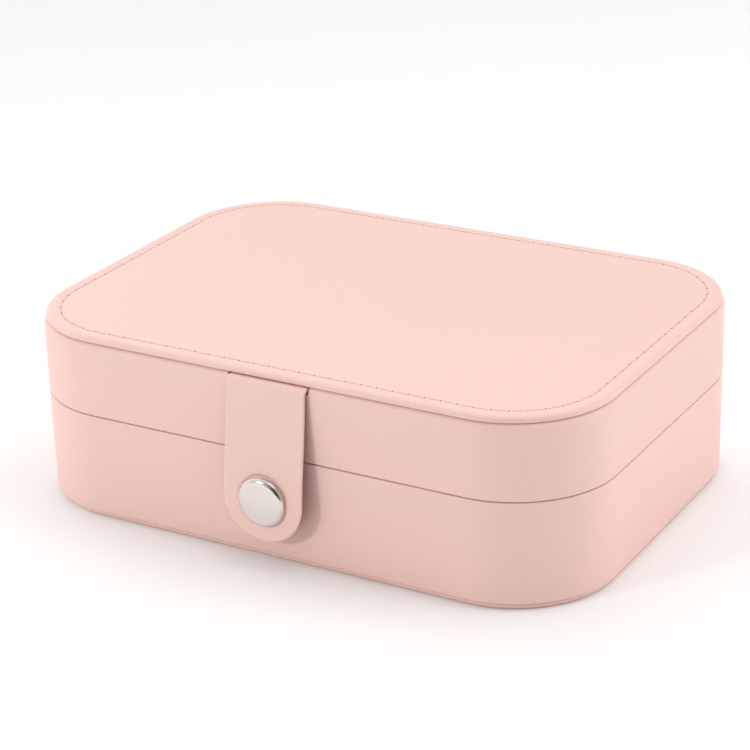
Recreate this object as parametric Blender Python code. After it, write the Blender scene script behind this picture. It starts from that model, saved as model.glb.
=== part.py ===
"""A closed leather jewellery case: a lid on a leather hinge, a strap with a snap, and a fitted inside.

Metres, +Z up. The origin is the centre of the footprint, on the underside. The front faces -Y.
"""

import math

import bmesh
import bpy
from mathutils import Matrix, Vector

# Outer body
CASE_LENGTH = 0.160
CASE_DEPTH = 0.115
CASE_HEIGHT = 0.050
CORNER_RADIUS = 0.0270
PARTING_HEIGHT = 0.0285
CORNER_STEPS = 8
ROUND_STEPS = 16
EDGE_STEPS = 2
EDGE = 0.0004
TOP_EDGE_ACROSS = 0.0017
TOP_EDGE_DOWN = 0.0009
BOTTOM_EDGE_ACROSS = 0.0012
BOTTOM_EDGE_UP = 0.0009

# Sheet thicknesses, and the gap left between touching pieces
GAP = 0.0003
LEATHER = 0.0008
BOARD = 0.0022
LINING = 0.0008
RIM_LIP = 0.0005
PANEL_INSET = 0.0007
BOTTOM_PANEL = 0.0014
TOP_PANEL = 0.0016
FLAT_BOARD = 0.0020
FLOOR_PAD = 0.0020
TOP_PADDING = 0.0012
LINING_PANEL = 0.0010

# Places that follow from them
HALF_DEPTH = CASE_DEPTH / 2
BOARD_INSET = LEATHER + GAP
LINING_INSET = BOARD_INSET + BOARD + GAP
INSIDE_INSET = LINING_INSET + LINING
INSIDE_X = CASE_LENGTH / 2 - INSIDE_INSET
INSIDE_Y = HALF_DEPTH - INSIDE_INSET
BASE_RIM = PARTING_HEIGHT - GAP / 2
LID_RIM = PARTING_HEIGHT + GAP / 2
BOTTOM_BOARD_BASE = BOTTOM_PANEL + GAP
FLOOR_PAD_BASE = BOTTOM_BOARD_BASE + FLAT_BOARD + GAP
FLOOR = FLOOR_PAD_BASE + FLOOR_PAD
TOP_PANEL_BASE = CASE_HEIGHT - TOP_PANEL
WALL_TOP = TOP_PANEL_BASE - GAP
PADDING_BASE = WALL_TOP - TOP_PADDING
TOP_BOARD_BASE = PADDING_BASE - GAP - FLAT_BOARD
CEILING = TOP_BOARD_BASE - GAP - LINING_PANEL

# Hinge across the back
HINGE_STANDOFF = 0.0004
HINGE_AXIS = (0, HALF_DEPTH + HINGE_STANDOFF, PARTING_HEIGHT)
HINGE_STRIP_HALF = 0.048
HINGE_STRIP_REACH = 0.0125
HINGE_LINING_HALF = 0.050
HINGE_LINING_REACH = 0.0042
HINGE_LINING_THICKNESS = 0.0006

# Strap and its snap
STRAP_HALF = 0.0112
STRAP_LAYER = 0.0005
STRAP_END = 0.007
STRAP_STRAIGHT_BELOW = 0.024
STRAP_TOP_STANDOFF = 0.0005
STRAP_SNAP_STANDOFF = 0.0034
STRAP_ROOT_THICKNESS = 0.0011
STRAP_TOP = PADDING_BASE + STRAP_ROOT_THICKNESS
STRAP_ROOT_LENGTH = 0.009
STRAP_SLOPE_STEPS = 6
STRAP_END_STEPS = 5
STRAP_END_ANGLE = math.radians(80)
SNAP_HEIGHT = 0.018
CAP_RADIUS = 0.0065
CAP_HEIGHT = 0.0013
CAP_RIM = 0.0005
CAP_STEPS = 5
SNAP_RADIUS = 0.0050
SNAP_EDGE = 0.0004
RIVET_RADIUS = 0.0010
RIVET_HOLE = 0.0014
RIVET_HEAD = 0.0020
RIVET_HEAD_DEPTH = 0.0005
SOCKET_BORE = 0.0024
SOCKET_DEPTH = 0.0020
SOCKET_FLOOR = 0.0005
STUD_FLANGE = 0.0006
STUD_NECK = 0.0016
STUD_NECK_TOP = 0.0010
STUD_RADIUS = 0.0019
STUD_HEIGHT = 0.0021

# Fittings in the base
DIVIDER_THICKNESS = 0.0030
DIVIDER_TOP = 0.0240
BAY_HALF = 0.0278
DIVIDER_ROUNDING = 0.0008
CLEARANCE = 0.0004
ROLL_COUNT = 9
ROLL_PITCH = 0.0116
ROLL_RADIUS = 0.0056
ROLL_TOP = 0.0203
ROLL_ROUND_STEPS = 8

# Fittings in the lid
POCKET_HALF = 0.054
POCKET_MOUTH = 0.005
POCKET_BACK = 0.045
POCKET_DEPTH = 0.0060
POCKET_WALL = 0.0010
POCKET_HEM = 0.0020
POCKET_HEM_ROUNDING = 0.0004
TAB_SPACING = 0.036
TAB_HALF = 0.0045
TAB_THICKNESS = 0.0010
TAB_LENGTH = 0.018
TAB_HINGE_Y = -0.044
TAB_STRIP_HALF = 0.046
TAB_STRIP_DEPTH = 0.0042
TAB_STANDOFF = 0.0005
TAB_SNAP_RADIUS = 0.0036
TAB_SNAP_HEIGHT = 0.0011
TAB_SNAP_RIM = 0.0006
TAB_STUD_RADIUS = 0.0010
TAB_HOLE = 0.0014


def material(name, colour, roughness, metallic=0.0):
    made = bpy.data.materials.new(name)
    made.use_nodes = True
    made.diffuse_color = (*colour, 1)
    shader = made.node_tree.nodes["Principled BSDF"]
    shader.inputs["Base Color"].default_value = (*colour, 1)
    shader.inputs["Roughness"].default_value = roughness
    shader.inputs["Metallic"].default_value = metallic
    return made


def finished(name, bm, finish, body=None, location=(0, 0, 0)):
    """The object made from bm, shaded smooth but for its sharp edges, riding with a body's empty."""
    bmesh.ops.remove_doubles(bm, verts=bm.verts, dist=1e-6)
    bmesh.ops.recalc_face_normals(bm, faces=bm.faces)
    mesh = bpy.data.meshes.new(name)
    bm.to_mesh(mesh)
    bm.free()
    mesh.shade_smooth()
    mesh.set_sharp_from_angle(angle=math.radians(35))
    mesh.materials.append(finish)
    obj = bpy.data.objects.new(name, mesh)
    obj.location = location
    bpy.context.scene.collection.objects.link(obj)
    return ridden(obj, body)


def ridden(obj, body):
    """Parents obj to a body's empty and leaves it where it is. The empties aren't turned."""
    if body:
        obj.parent = body
        obj.matrix_parent_inverse = Matrix.Translation(-Vector(body["axis_point"]))
    return obj


def joint_empty(name, axis_point, body=None):
    empty = bpy.data.objects.new(name, None)
    empty.location = axis_point
    empty["axis_point"] = list(axis_point)
    empty.empty_display_size = 0.01
    bpy.context.scene.collection.objects.link(empty)
    return ridden(empty, body)


def outline(inset, height):
    """The case's rounded rectangle, drawn in by inset, anticlockwise from above."""
    radius = CORNER_RADIUS - inset
    centre_x = CASE_LENGTH / 2 - CORNER_RADIUS
    centre_y = HALF_DEPTH - CORNER_RADIUS
    points = []
    for corner, (side_x, side_y) in enumerate(((1, 1), (-1, 1), (-1, -1), (1, -1))):
        for step in range(CORNER_STEPS + 1):
            angle = (corner + step / CORNER_STEPS) * math.pi / 2
            x = side_x * centre_x + radius * math.cos(angle)
            y = side_y * centre_y + radius * math.sin(angle)
            points.append((x, y, height))
    return points


def bridged(bm, loops, closed):
    """Joins loops of points, one to the next, with quads. Open stacks are capped at both ends."""
    rings = [[bm.verts.new(point) for point in loop] for loop in loops]
    pairs = list(zip(rings, rings[1:]))
    if closed:
        pairs.append((rings[-1], rings[0]))
    for lower, upper in pairs:
        for i in range(len(lower)):
            j = (i + 1) % len(lower)
            bm.faces.new((lower[i], lower[j], upper[j], upper[i]))
    if not closed:
        bm.faces.new(rings[0])
        bm.faces.new(rings[-1])


def wall(name, profile, finish, body=None):
    """A wall that runs round the case. The profile is a closed outline of (inset, height) points."""
    bm = bmesh.new()
    bridged(bm, [outline(inset, height) for inset, height in profile], True)
    return finished(name, bm, finish, body)


def panel(name, profile, finish, body=None):
    """A flat panel with the case's outline. The profile is its edge, from bottom to top."""
    bm = bmesh.new()
    bridged(bm, [outline(inset, height) for inset, height in profile], False)
    return finished(name, bm, finish, body)


def slab(inset, low, high):
    return [(inset, low), (inset, high)]


def eased(inset, height, across, along):
    """Points of a rounded edge, from the upright side at that height to the flat face above or below."""
    angles = [math.pi / 2 * step / EDGE_STEPS for step in range(EDGE_STEPS + 1)]
    return [(inset + across * (1 - math.cos(a)), height + along * math.sin(a)) for a in angles]


def box(name, low, high, finish, body=None, rounding=0.0):
    bm = bmesh.new()
    bmesh.ops.create_cube(bm, size=1)
    size = Vector(high) - Vector(low)
    bmesh.ops.scale(bm, vec=size, verts=bm.verts)
    if rounding:
        bmesh.ops.bevel(bm, geom=bm.edges, offset=rounding, segments=2, affect="EDGES", profile=0.5)
    return finished(name, bm, finish, body, (Vector(low) + Vector(high)) / 2)


def turned(name, profile, finish, body, location, turn):
    """A piece turned about its own Z from (radius, height) points, then turned and placed."""
    bm = bmesh.new()
    points = [bm.verts.new((radius, 0, height)) for radius, height in profile]
    pairs = list(zip(points, points[1:]))
    if profile[0][0] > 0:
        pairs.append((points[-1], points[0]))
    edges = [bm.edges.new(pair) for pair in pairs]
    bmesh.ops.spin(
        bm, geom=points + edges, cent=(0, 0, 0), axis=(0, 0, 1), angle=math.tau, steps=ROUND_STEPS
    )
    bmesh.ops.rotate(bm, cent=(0, 0, 0), matrix=turn, verts=bm.verts)
    return finished(name, bm, finish, body, location)


def drill(name, radius, length, location, turn, pieces, body=None):
    """Cuts a round hole, centred on location and running along the turned Z, through the pieces."""
    bm = bmesh.new()
    bmesh.ops.create_cone(
        bm, cap_ends=True, segments=ROUND_STEPS, radius1=radius, radius2=radius, depth=length
    )
    bmesh.ops.rotate(bm, cent=(0, 0, 0), matrix=turn, verts=bm.verts)
    cut(finished(name, bm, STEEL, body, location), pieces)


def cut(cutter, pieces):
    cutter.hide_render = True
    cutter.display_type = "WIRE"
    for piece in pieces:
        modifier = piece.modifiers.new(cutter.name, "BOOLEAN")
        modifier.object = cutter


def make_base():
    """The bottom panel, the boards, the outer leather, the lining and the floor pad."""
    panel(
        "base_bottom_panel",
        [
            *reversed(eased(PANEL_INSET, BOTTOM_EDGE_UP, BOTTOM_EDGE_ACROSS, -BOTTOM_EDGE_UP)),
            (PANEL_INSET, BOTTOM_PANEL),
        ],
        PINK_LEATHER,
    )
    panel(
        "base_bottom_board",
        slab(LINING_INSET, BOTTOM_BOARD_BASE, BOTTOM_BOARD_BASE + FLAT_BOARD),
        GREY_BOARD,
    )
    panel("base_floor_pad", slab(INSIDE_INSET + GAP, FLOOR_PAD_BASE, FLOOR), VELVET)
    leather = wall(
        "base_wall_leather",
        [
            (LEATHER, BOTTOM_BOARD_BASE),
            *reversed(eased(0, BOTTOM_BOARD_BASE + EDGE, EDGE, -EDGE)),
            *eased(0, BASE_RIM - EDGE, EDGE, EDGE),
            (LEATHER, BASE_RIM),
        ],
        PINK_LEATHER,
    )
    lip_base = BASE_RIM - RIM_LIP
    board = wall(
        "base_wall_board",
        [
            *slab(BOARD_INSET, BOTTOM_BOARD_BASE, lip_base - GAP),
            *reversed(slab(BOARD_INSET + BOARD, BOTTOM_BOARD_BASE, lip_base - GAP)),
        ],
        GREY_BOARD,
    )
    wall(
        "base_wall_lining",
        [
            *slab(INSIDE_INSET, FLOOR_PAD_BASE, BASE_RIM),
            *reversed(slab(BOARD_INSET, lip_base, BASE_RIM)),
            *reversed(slab(LINING_INSET, FLOOR_PAD_BASE, lip_base)),
        ],
        VELVET,
    )
    return leather, board


def make_base_fittings():
    """Two fixed dividers, the ring rolls between them, and a movable divider on each side."""
    low, reach = FLOOR + GAP, INSIDE_Y - GAP
    inner = BAY_HALF + DIVIDER_THICKNESS
    for side, label in ((-1, "left"), (1, "right")):
        xs = sorted((side * BAY_HALF, side * inner))
        ends = (xs[0], -reach, low), (xs[1], reach, DIVIDER_TOP)
        box(f"fixed_divider_{label}", *ends, VELVET, rounding=DIVIDER_ROUNDING)
        slide = joint_empty(f"sliding_divider_{label}_axis", (side * (INSIDE_X + inner) / 2, 0, low))
        xs = sorted((side * (inner + CLEARANCE), side * (INSIDE_X - CLEARANCE)))
        half = DIVIDER_THICKNESS / 2
        ends = (xs[0], -half, low), (xs[1], half, DIVIDER_TOP)
        box(f"sliding_divider_{label}", *ends, VELVET, slide, DIVIDER_ROUNDING)
    for number in range(ROLL_COUNT):
        make_ring_roll(f"ring_roll_{number + 1}", (number - (ROLL_COUNT - 1) / 2) * ROLL_PITCH, low)


def make_ring_roll(name, y, low):
    """A padded roll with a round top. Rings are pushed down between it and its neighbour."""
    reach = BAY_HALF - CLEARANCE
    section = [(-ROLL_RADIUS, low), (ROLL_RADIUS, low)]
    for step in range(ROLL_ROUND_STEPS + 1):
        angle = math.pi * step / ROLL_ROUND_STEPS
        height = ROLL_TOP - ROLL_RADIUS + ROLL_RADIUS * math.sin(angle)
        section.append((ROLL_RADIUS * math.cos(angle), height))
    bm = bmesh.new()
    bridged(bm, [[(x, across, height) for across, height in section] for x in (-reach, reach)], False)
    finished(name, bm, VELVET, location=(0, y, 0))


def make_lid(lid):
    """The outer leather, the boards, the padding, the linings and the stitched top panel."""
    panel(
        "lid_top_panel",
        [
            (PANEL_INSET, TOP_PANEL_BASE),
            *eased(PANEL_INSET, CASE_HEIGHT - TOP_EDGE_DOWN, TOP_EDGE_ACROSS, TOP_EDGE_DOWN),
        ],
        PINK_LEATHER,
        lid,
    )
    padding = panel("lid_top_padding", slab(LINING_INSET, PADDING_BASE, WALL_TOP), FOAM, lid)
    panel("lid_top_board", slab(LINING_INSET, TOP_BOARD_BASE, TOP_BOARD_BASE + FLAT_BOARD), GREY_BOARD, lid)
    panel("lid_lining_panel", slab(INSIDE_INSET + GAP, CEILING, CEILING + LINING_PANEL), VELVET, lid)
    leather = wall(
        "lid_wall_leather",
        [
            (LEATHER, LID_RIM),
            *reversed(eased(0, LID_RIM + EDGE, EDGE, -EDGE)),
            *eased(0, WALL_TOP - LEATHER, LEATHER, LEATHER),
        ],
        PINK_LEATHER,
        lid,
    )
    lip_top = LID_RIM + RIM_LIP
    board = wall(
        "lid_wall_board",
        [
            *slab(BOARD_INSET, lip_top + GAP, WALL_TOP),
            *reversed(slab(BOARD_INSET + BOARD, lip_top + GAP, WALL_TOP)),
        ],
        GREY_BOARD,
        lid,
    )
    wall(
        "lid_wall_lining",
        [
            *reversed(slab(INSIDE_INSET, LID_RIM, CEILING + LINING_PANEL)),
            *slab(BOARD_INSET, LID_RIM, lip_top),
            *slab(LINING_INSET, lip_top, CEILING + LINING_PANEL),
        ],
        VELVET,
        lid,
    )
    slot_half = STRAP_HALF + GAP
    slot = box(
        "strap_slot_cutter",
        (-slot_half, -HALF_DEPTH - GAP, PADDING_BASE - GAP),
        (slot_half, STRAP_ROOT_LENGTH - HALF_DEPTH, CASE_HEIGHT),
        STEEL,
        lid,
    )
    cut(slot, (padding, leather, board))


def make_hinge():
    """The leather strip across the back, and the lining strip that covers the joint inside."""
    outside = HALF_DEPTH + GAP
    box(
        "hinge_strip",
        (-HINGE_STRIP_HALF, outside, PARTING_HEIGHT - HINGE_STRIP_REACH),
        (HINGE_STRIP_HALF, outside + LEATHER, PARTING_HEIGHT + HINGE_STRIP_REACH),
        PINK_LEATHER,
    )
    inside = INSIDE_Y - GAP
    box(
        "hinge_lining",
        (-HINGE_LINING_HALF, inside - HINGE_LINING_THICKNESS, PARTING_HEIGHT - HINGE_LINING_REACH),
        (HINGE_LINING_HALF, inside, PARTING_HEIGHT + HINGE_LINING_REACH),
        VELVET,
    )


def strap_standoff(height):
    """How far the strap's inner face stands off the front: it leaves the fold and ends flat on its snap."""
    fall = (STRAP_TOP - height) / (STRAP_TOP - STRAP_STRAIGHT_BELOW)
    fall = min(max(fall, 0.0), 1.0)
    ease = fall * fall * (3 - 2 * fall)
    return STRAP_TOP_STANDOFF + ease * (STRAP_SNAP_STANDOFF - STRAP_TOP_STANDOFF)


def strap_layer(name, depth, body):
    """One of the strap's two leather layers. depth is how far it lies from the strap's inner face."""
    round_centre = STRAP_END + STRAP_HALF
    stations = []
    for step in range(STRAP_SLOPE_STEPS):
        height = STRAP_TOP + (STRAP_STRAIGHT_BELOW - STRAP_TOP) * step / STRAP_SLOPE_STEPS
        stations.append((STRAP_HALF, height))
    for step in range(STRAP_END_STEPS + 1):
        angle = STRAP_END_ANGLE * step / STRAP_END_STEPS
        stations.append((STRAP_HALF * math.cos(angle), round_centre - STRAP_HALF * math.sin(angle)))
    loops = []
    for half, height in stations:
        inner = -HALF_DEPTH - strap_standoff(height) - depth
        outer = inner - STRAP_LAYER
        section = ((-half, inner), (half, inner), (half, outer), (-half, outer))
        loops.append([(*point, height) for point in section])
    bm = bmesh.new()
    bridged(bm, loops, False)
    return finished(name, bm, PINK_LEATHER, body)


def make_strap(lid, strap, base_walls):
    """The strap's root under the top panel, its two layers, and the four parts of its snap."""
    box(
        "strap_root",
        (-STRAP_HALF, -HALF_DEPTH - STRAP_TOP_STANDOFF + GAP, PADDING_BASE),
        (STRAP_HALF, STRAP_ROOT_LENGTH - GAP - HALF_DEPTH, PADDING_BASE + STRAP_ROOT_THICKNESS),
        PINK_LEATHER,
        lid,
    )
    layers = strap_layer("strap_backing", 0, strap), strap_layer("strap_leather", STRAP_LAYER + GAP, strap)
    forward = Matrix.Rotation(math.radians(90), 3, "X")
    inner_face = -HALF_DEPTH - STRAP_SNAP_STANDOFF
    outer_face = inner_face - 2 * STRAP_LAYER - GAP
    make_snap_on_strap(strap, forward, inner_face, outer_face)
    make_snap_on_base(forward)
    hole = (0, outer_face, SNAP_HEIGHT)
    drill("strap_rivet_cutter", RIVET_HOLE, STRAP_HALF, hole, forward, layers, strap)
    hole = (0, -HALF_DEPTH, SNAP_HEIGHT)
    drill("wall_rivet_cutter", RIVET_HEAD + GAP, 2 * LINING_INSET, hole, forward, base_walls)


def make_snap_on_strap(strap, forward, inner_face, outer_face):
    """The domed cap, whose rivet goes through the strap, and the socket behind it."""
    rivet_end = outer_face - inner_face + GAP
    angles = [math.pi / 2 * step / CAP_STEPS for step in range(CAP_STEPS)]
    dome = [(CAP_RADIUS * math.cos(a), CAP_RIM + (CAP_HEIGHT - CAP_RIM) * math.sin(a)) for a in angles]
    turned(
        "snap_cap",
        [
            (0, rivet_end),
            (RIVET_RADIUS, rivet_end),
            (RIVET_RADIUS, 0),
            (CAP_RADIUS, 0),
            *dome,
            (0, CAP_HEIGHT),
        ],
        STEEL,
        strap,
        (0, outer_face - GAP, SNAP_HEIGHT),
        forward,
    )
    turned(
        "snap_socket",
        [
            (SOCKET_BORE, 0),
            (SNAP_RADIUS - SNAP_EDGE, 0),
            (SNAP_RADIUS, SNAP_EDGE),
            (SNAP_RADIUS, SOCKET_DEPTH - SNAP_EDGE),
            (SNAP_RADIUS - SNAP_EDGE, SOCKET_DEPTH),
            (RIVET_HOLE, SOCKET_DEPTH),
            (RIVET_HOLE, SOCKET_DEPTH - SOCKET_FLOOR),
            (SOCKET_BORE, SOCKET_DEPTH - SOCKET_FLOOR),
        ],
        STEEL,
        strap,
        (0, inner_face + GAP + SOCKET_DEPTH, SNAP_HEIGHT),
        forward,
    )


def make_snap_on_base(forward):
    """The stud on the front wall, which sits in the socket, and the headed post that holds it on."""
    turned(
        "snap_stud",
        [
            (0, 0),
            (SNAP_RADIUS, 0),
            (SNAP_RADIUS, STUD_FLANGE - SNAP_EDGE),
            (SNAP_RADIUS - SNAP_EDGE, STUD_FLANGE),
            (STUD_NECK, STUD_FLANGE),
            (STUD_NECK, STUD_NECK_TOP),
            (STUD_RADIUS, STUD_NECK_TOP + SNAP_EDGE),
            (STUD_RADIUS, STUD_HEIGHT - SNAP_EDGE),
            (STUD_RADIUS - SNAP_EDGE, STUD_HEIGHT),
            (0, STUD_HEIGHT),
        ],
        STEEL,
        None,
        (0, -HALF_DEPTH - GAP, SNAP_HEIGHT),
        forward,
    )
    post_end = -BOARD_INSET - BOARD
    turned(
        "snap_post",
        [
            (0, post_end),
            (RIVET_HEAD, post_end),
            (RIVET_HEAD, post_end + RIVET_HEAD_DEPTH),
            (RIVET_RADIUS, post_end + RIVET_HEAD_DEPTH),
            (RIVET_RADIUS, -GAP),
            (0, -GAP),
        ],
        STEEL,
        None,
        (0, -HALF_DEPTH, SNAP_HEIGHT),
        forward,
    )


def make_pocket(lid):
    """A gathered pocket against the lid's ceiling. Its mouth faces the front, under an elastic hem."""
    top = CEILING - GAP
    low = top - POCKET_DEPTH
    ends = (-POCKET_HALF, POCKET_MOUTH, low), (POCKET_HALF, POCKET_BACK, top)
    pocket = box("lid_pocket", *ends, VELVET, lid)
    inner = POCKET_HALF - POCKET_WALL
    hollow = box(
        "pocket_hollow_cutter",
        (-inner, POCKET_MOUTH - POCKET_WALL, low + POCKET_WALL),
        (inner, POCKET_BACK - POCKET_WALL, top + POCKET_WALL),
        STEEL,
        lid,
    )
    cut(hollow, (pocket,))
    hem_back = POCKET_MOUTH - GAP
    box(
        "pocket_elastic",
        (-POCKET_HALF, hem_back - POCKET_HEM, low - GAP),
        (POCKET_HALF, hem_back, low + POCKET_WALL),
        VELVET,
        lid,
        POCKET_HEM_ROUNDING,
    )


def make_necklace_tabs(lid):
    """A leather strip on the lid's ceiling, with three tabs that swing down off their own small snaps."""
    tab_top = CEILING - GAP - TAB_STANDOFF
    tab_low = tab_top - TAB_THICKNESS
    strip_back = TAB_HINGE_Y - GAP
    box(
        "necklace_tab_strip",
        (-TAB_STRIP_HALF, strip_back - TAB_STRIP_DEPTH, tab_low),
        (TAB_STRIP_HALF, strip_back, CEILING - GAP),
        PINK_LEATHER,
        lid,
    )
    upright = Matrix.Identity(3)
    downward = Matrix.Rotation(math.pi, 3, "X")
    for number, label in enumerate(("left", "middle", "right")):
        x = (number - 1) * TAB_SPACING
        swing = joint_empty(f"necklace_tab_{label}_axis", (x, TAB_HINGE_Y, tab_low), lid)
        tab = make_tab(f"necklace_tab_{label}", x, tab_low, tab_top, swing)
        snap_y = TAB_HINGE_Y + TAB_LENGTH - TAB_HALF
        turned(
            f"necklace_snap_{label}",
            [
                (0, 0),
                (TAB_SNAP_RADIUS, 0),
                (TAB_SNAP_RADIUS - SNAP_EDGE, TAB_SNAP_RIM),
                (0, TAB_SNAP_HEIGHT),
            ],
            STEEL,
            swing,
            (x, snap_y, tab_low - GAP),
            downward,
        )
        turned(
            f"necklace_stud_{label}",
            [
                (0, CEILING - GAP),
                (TAB_SNAP_RADIUS - SNAP_EDGE, CEILING - GAP),
                (TAB_SNAP_RADIUS - SNAP_EDGE, tab_top + GAP),
                (TAB_STUD_RADIUS, tab_top + GAP),
                (TAB_STUD_RADIUS, tab_low + GAP),
                (0, tab_low + GAP),
            ],
            STEEL,
            lid,
            (x, snap_y, 0),
            upright,
        )
        hole = (x, snap_y, (tab_low + tab_top) / 2)
        drill(f"{tab.name}_cutter", TAB_HOLE, TAB_THICKNESS * 3, hole, upright, [tab], swing)


def make_tab(name, x, low, top, swing):
    """A short leather tab with a round free end."""
    round_y = TAB_HINGE_Y + TAB_LENGTH - TAB_HALF
    edge = [(x - TAB_HALF, TAB_HINGE_Y), (x + TAB_HALF, TAB_HINGE_Y)]
    for step in range(CORNER_STEPS + 1):
        angle = math.pi * step / CORNER_STEPS
        edge.append((x + TAB_HALF * math.cos(angle), round_y + TAB_HALF * math.sin(angle)))
    bm = bmesh.new()
    bridged(bm, [[(*point, height) for point in edge] for height in (low, top)], False)
    return finished(name, bm, PINK_LEATHER, swing)


def main():
    lid = joint_empty("lid_hinge_axis", HINGE_AXIS)
    strap_fold = (0, -HALF_DEPTH - STRAP_TOP_STANDOFF, STRAP_TOP)
    strap = joint_empty("strap_fold_axis", strap_fold, lid)
    base_walls = make_base()
    make_base_fittings()
    make_lid(lid)
    make_hinge()
    make_strap(lid, strap, base_walls)
    make_pocket(lid)
    make_necklace_tabs(lid)


for leftover in list(bpy.data.objects):
    bpy.data.objects.remove(leftover)
PINK_LEATHER = material("pink_leather", (0.88, 0.60, 0.54), 0.45)
VELVET = material("velvet", (0.80, 0.55, 0.50), 0.9)
GREY_BOARD = material("grey_board", (0.45, 0.43, 0.40), 0.85)
FOAM = material("foam", (0.85, 0.83, 0.78), 0.9)
STEEL = material("nickel_plated_steel", (0.80, 0.79, 0.78), 0.2, 1.0)
main()
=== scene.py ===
"""A closed leather jewellery case with a strap and a snap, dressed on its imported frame.

Metres, +Z up. The origin is the centre of the footprint, on the underside. The front faces -Y.
"""

import math

import bmesh
import bpy
from mathutils import Matrix, Vector


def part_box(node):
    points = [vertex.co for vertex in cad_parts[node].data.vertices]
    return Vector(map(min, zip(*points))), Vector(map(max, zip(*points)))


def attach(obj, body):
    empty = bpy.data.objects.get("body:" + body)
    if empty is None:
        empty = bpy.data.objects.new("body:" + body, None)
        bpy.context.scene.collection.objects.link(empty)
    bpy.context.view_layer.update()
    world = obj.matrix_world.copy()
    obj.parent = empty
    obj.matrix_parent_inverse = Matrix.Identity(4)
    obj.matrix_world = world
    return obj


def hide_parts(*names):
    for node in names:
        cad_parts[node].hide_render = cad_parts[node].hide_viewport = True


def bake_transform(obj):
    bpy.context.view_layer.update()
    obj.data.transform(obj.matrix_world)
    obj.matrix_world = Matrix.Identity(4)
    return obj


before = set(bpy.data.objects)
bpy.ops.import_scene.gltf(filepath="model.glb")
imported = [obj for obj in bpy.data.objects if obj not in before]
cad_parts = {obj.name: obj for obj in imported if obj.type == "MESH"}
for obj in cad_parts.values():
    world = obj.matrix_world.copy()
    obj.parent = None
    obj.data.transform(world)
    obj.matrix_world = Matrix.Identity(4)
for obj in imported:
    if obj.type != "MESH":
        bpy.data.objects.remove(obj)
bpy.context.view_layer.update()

bl_info = {
    "name": "Leather Jewellery Case",
    "version": (1, 0, 0),
    "blender": (4, 5, 0),
    "location": "3D View > Sidebar > Jewellery Case",
    "description":
        "Models a lidded leather jewellery case with its strap, snap, hinge and fitted inside",
    "category": "Add Mesh",
}

MM = 0.001
WELD = 2e-6  # points closer than this are merged
STITCH_SHARE = 0.84  # how much of a stitch's pitch its thread covers
LOW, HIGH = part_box("base_wall_leather")
LID_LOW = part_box("lid_wall_leather")[0]
HALF_LENGTH = HIGH.x
HALF_DEPTH = HIGH.y
PARTING = (HIGH.z + LID_LOW.z) / 2
SIDES = {"left": -1, "right": 1}
TABS = ("left", "middle", "right")
ROLLS = range(1, 10)


# --------------------------------------------------------------------------------------------------
# Settings


def metres(name, about, value):
    return bpy.props.FloatProperty(name=name, description=about, default=value, unit="LENGTH")


def colour(name, about, value):
    return bpy.props.FloatVectorProperty(
        name=name, description=about, default=value, size=3, min=0, max=1, subtype="COLOR"
    )


class CaseSizes(bpy.types.PropertyGroup):
    """The sizes that give the case its soft look."""

    corner: metres("Corner radius", "Radius of the case's four upright corners", 0.0270)
    crown: metres("Top crown", "How far the padded top rises inside its stitching", 0.00028)
    stitch_inset: metres(
        "Stitch inset", "Distance of the top's stitching from the case's side", 0.0045
    )
    stitch_pitch: metres("Stitch pitch", "Distance from one needle hole to the next", 0.0043)
    groove: metres("Stitch groove", "How deep the stitching pulls the leather in", 0.00013)
    strap: metres("Strap thickness", "Thickness of the folded leather of the strap", 0.0012)
    gathers: bpy.props.IntProperty(
        name="Pocket gathers", description="Number of folds along the elastic of the lid's pocket",
        default=27,
    )
    grain: metres("Leather grain", "Size of one pebble of the leather's grain", 0.00038)


class CaseColours(bpy.types.PropertyGroup):
    """The finishes' colours, as linear values."""

    leather: colour("Leather", "Colour of the coated leather outside", (0.755, 0.431, 0.365))
    # The strap's backing colour: partly its own, and darkened as painted shade for the gap under
    # the strap.
    suede_and_shade: colour("Strap backing", "Colour of the suede behind the strap", (0.36, 0.150, 0.118))
    # Needle holes are only low bumps, so this dark colour is painted shade for the inside of each
    # hole.
    seam: colour("Needle holes", "Colour inside the needle holes", (0.40, 0.22, 0.20))
    velvet: colour("Velvet", "Colour of the short-pile lining", (0.72, 0.44, 0.39))
    pocket: colour("Pocket fabric", "Colour of the gathered pocket", (0.78, 0.51, 0.46))
    board: colour("Board", "Colour of the pressed board", (0.42, 0.40, 0.37))
    foam: colour("Foam", "Colour of the thin foam under the top", (0.82, 0.80, 0.74))
    metal: colour("Snap metal", "Colour of the nickel plate", (0.73, 0.675, 0.64))
    floor: colour("Floor", "Colour of the studio floor", (0.97, 0.97, 0.97))


# --------------------------------------------------------------------------------------------------
# Drawing and shaping


def nothing_selected():
    if bpy.context.mode != "OBJECT":
        bpy.ops.object.mode_set(mode="OBJECT")
    bpy.ops.object.select_all(action="DESELECT")


def only(piece):
    nothing_selected()
    piece.select_set(True)
    bpy.context.view_layer.objects.active = piece


def edit_all():
    """Goes into edit mode with everything selected."""
    bpy.ops.object.mode_set(mode="EDIT")
    bpy.ops.mesh.select_all(action="SELECT")


def settle():
    """Applies the active object's place, turn and size to its mesh."""
    bpy.ops.object.transform_apply(location=True, rotation=True, scale=True)


def named(name):
    made = bpy.context.object
    made.name = name
    made.data.name = name
    return made


def draw_line(name, points):
    """A chain of edges, drawn by pulling one vertex from point to point. It stays in edit mode."""
    nothing_selected()
    bpy.ops.mesh.primitive_plane_add(size=MM)
    piece = named(name)
    bpy.ops.object.mode_set(mode="EDIT")
    bpy.context.tool_settings.mesh_select_mode = (True, False, False)
    bpy.ops.mesh.select_all(action="SELECT")
    bpy.ops.mesh.merge(type="CENTER")
    bpy.ops.transform.translate(value=Vector(points[0]))
    for here, there in zip(points, points[1:]):
        pull(Vector(there) - Vector(here))
    bpy.ops.mesh.select_all(action="SELECT")
    return piece


def pull(step):
    bpy.ops.mesh.extrude_region_move(TRANSFORM_OT_translate={"value": step})


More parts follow.
